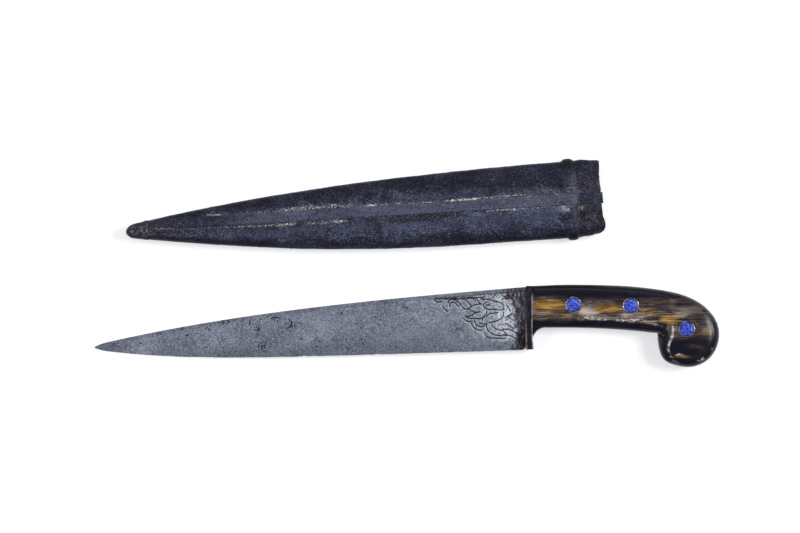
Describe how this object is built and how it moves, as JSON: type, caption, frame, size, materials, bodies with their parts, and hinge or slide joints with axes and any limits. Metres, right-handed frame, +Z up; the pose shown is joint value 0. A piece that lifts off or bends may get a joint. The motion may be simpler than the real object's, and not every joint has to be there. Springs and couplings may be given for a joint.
{
  "type": "knife",
  "caption": "Curved single-edged knife with a riveted horn grip and curled pommel, drawn and lying beside its leather-covered scabbard.",
  "frame": {"origin": "on the table, under the middle of the box round the knife and its scabbard", "axes": "+X toward the pommel and the mouth of the scabbard, +Y toward the back of the blade, +Z up from the table"},
  "size_m": [0.3732, 0.125, 0.0192],
  "materials": {
    "watered_steel": "aged steel with fine pits and rust specks",
    "dark_iron": "blackened and polished",
    "horn": "polished dark horn with amber streaks",
    "brass": "aged",
    "silver": "worn silver",
    "blue_stone": "polished opaque blue stone",
    "core_wood": "plain carved wood",
    "cover_leather": "aged black leather",
    "strip_leather": "aged leather with worn tan edges",
    "cap_leather": "wrinkled aged leather",
    "cord_fibre": "twisted fibre"
  },
  "bodies": {
    "scabbard": {"scabbard_core_front": "core_wood", "scabbard_core_back": "core_wood", "leather_cover": "cover_leather", "throat_cord": "cord_fibre", "tip_cap": "cap_leather", "seam_strip": "strip_leather"},
    "knife": {"blade": "watered_steel", "bolster_left": "dark_iron", "bolster_right": "dark_iron", "scale_left": "horn", "scale_right": "horn", "rivet_front": "brass", "rivet_middle": "brass", "rivet_rear": "brass", "cup_left_front": "silver", "cup_left_middle": "silver", "cup_left_rear": "silver", "cup_right_front": "silver", "cup_right_middle": "silver", "cup_right_rear": "silver", "stone_left_front": "blue_stone", "stone_left_middle": "blue_stone", "stone_left_rear": "blue_stone", "stone_right_front": "blue_stone", "stone_right_middle": "blue_stone", "stone_right_rear": "blue_stone"}
  },
  "joints": [
    {"name": "knife_lift", "type": "slide", "parent": "scabbard", "child": "knife", "axis": [0, 0, 1], "range_m": [0, 0.1]}
  ]
}
